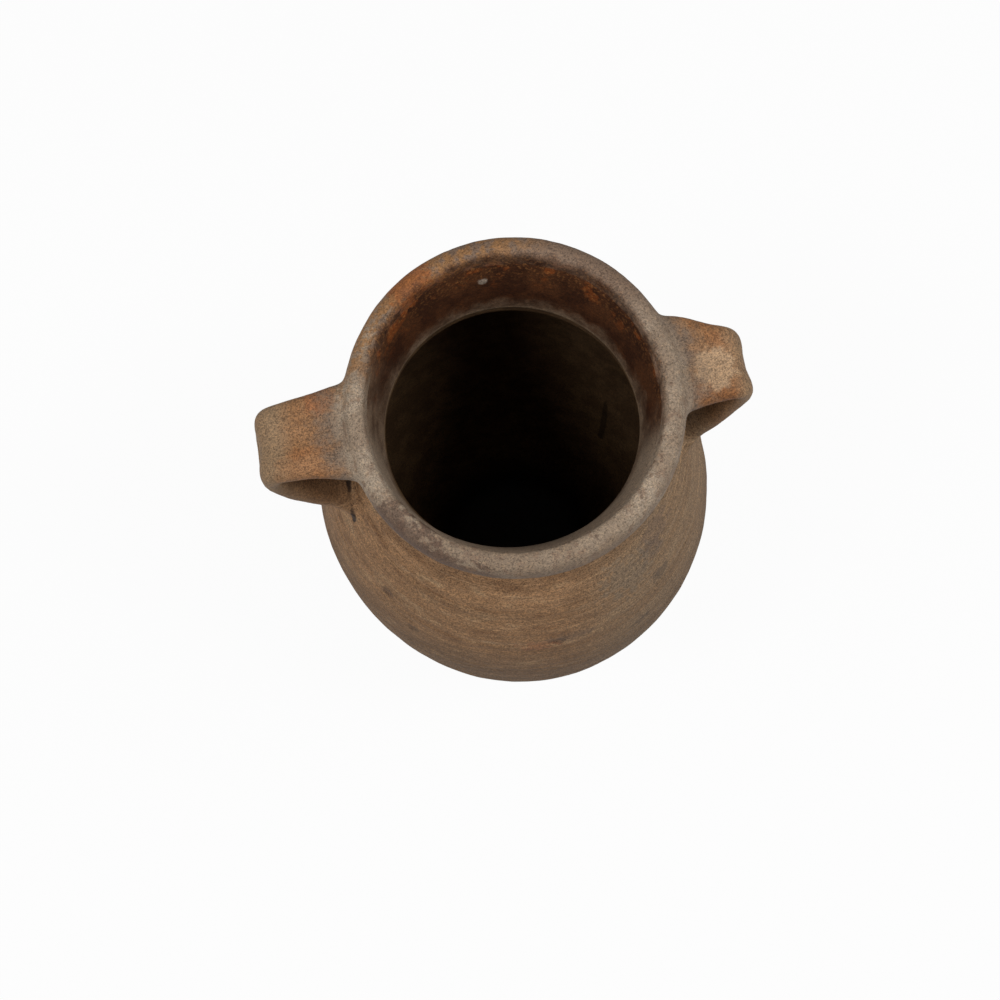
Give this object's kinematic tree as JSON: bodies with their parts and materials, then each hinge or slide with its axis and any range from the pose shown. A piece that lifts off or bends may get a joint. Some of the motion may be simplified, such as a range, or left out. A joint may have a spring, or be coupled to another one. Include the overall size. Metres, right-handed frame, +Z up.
{
  "type": "amphora",
  "caption": "Tall storage jar with a swelling shoulder, short neck, thick rolled rim and two strap handles from rim to shoulder.",
  "frame": {"origin": "centre of the flat underside of the base", "axes": "+Z up the jar's axis, +X towards the right handle, with both handles swung slightly towards +Y"},
  "size_m": [0.2375, 0.212, 0.38],
  "materials": {
    "body_clay": "matt, low-fired tan and brown clay with fine throwing lines",
    "neck_clay": "matt tan clay, slightly greyer than the body",
    "rim_clay": "worn brown clay under a thin grey-beige lime crust",
    "handle_clay": "golden brown speckled clay, greyer at the edges",
    "collar_clay": "matt grey-brown clay, smeared by thumb",
    "inner_glaze": "dark brown half-gloss glaze, speckled and worn near the mouth"
  },
  "bodies": {
    "root": {"base_disc": "body_clay", "lower_body": "body_clay", "upper_body": "body_clay", "neck_collar": "neck_clay", "rim": "rim_clay", "left_handle": "handle_clay", "right_handle": "handle_clay", "left_handle_rim_collar": "collar_clay", "right_handle_rim_collar": "collar_clay", "left_handle_shoulder_collar": "collar_clay", "right_handle_shoulder_collar": "collar_clay", "glaze_lining": "inner_glaze"}
  },
  "joints": []
}
